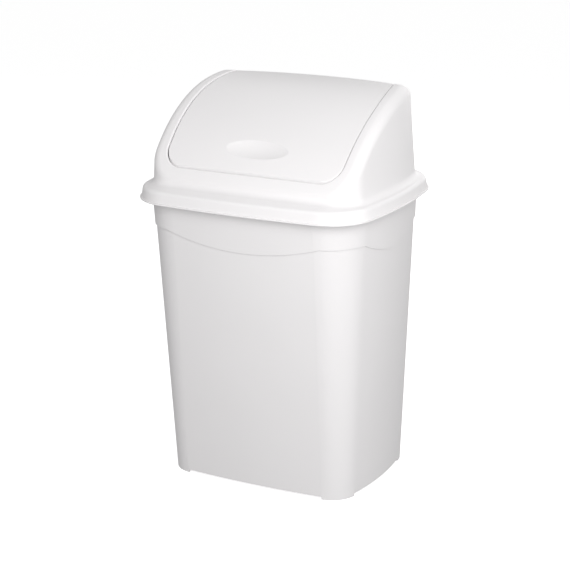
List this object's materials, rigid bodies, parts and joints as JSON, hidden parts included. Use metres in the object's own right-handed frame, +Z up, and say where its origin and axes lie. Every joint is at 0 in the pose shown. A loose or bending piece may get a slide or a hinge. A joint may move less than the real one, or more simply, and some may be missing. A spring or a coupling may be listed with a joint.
{
  "type": "swing-lid waste bin",
  "caption": "Free-standing tapered plastic bin with a lift-off hooded lid and a curved swing flap that tips inwards on stub pins and falls shut.",
  "frame": {"origin": "on the floor, under the centre of the rim", "axes": "+Z up; +Y from the front, which the flap faces, to the back; +X to the right of someone facing the front"},
  "size_m": [0.437, 0.347, 0.6549],
  "materials": {
    "tub_plastic": "satin white polypropylene",
    "lid_plastic": "semi-gloss white polypropylene",
    "pin_plastic": "satin white polypropylene"
  },
  "bodies": {
    "tub": {"tub": "tub_plastic"},
    "lid": {"lid_hood": "lid_plastic"},
    "flap": {"swing_flap": "lid_plastic", "pivot_pin_left": "pin_plastic", "pivot_pin_right": "pin_plastic"}
  },
  "joints": [
    {"name": "lid_lift", "type": "slide", "parent": "tub", "child": "lid", "axis": [0, 0, 1], "range_m": [0, 0.12]},
    {"name": "flap_swing", "type": "hinge", "parent": "lid", "child": "flap", "pos_m": [0, -0.04018, 0.59787], "axis": [1, 0, 0], "range_deg": [0, 50]}
  ]
}
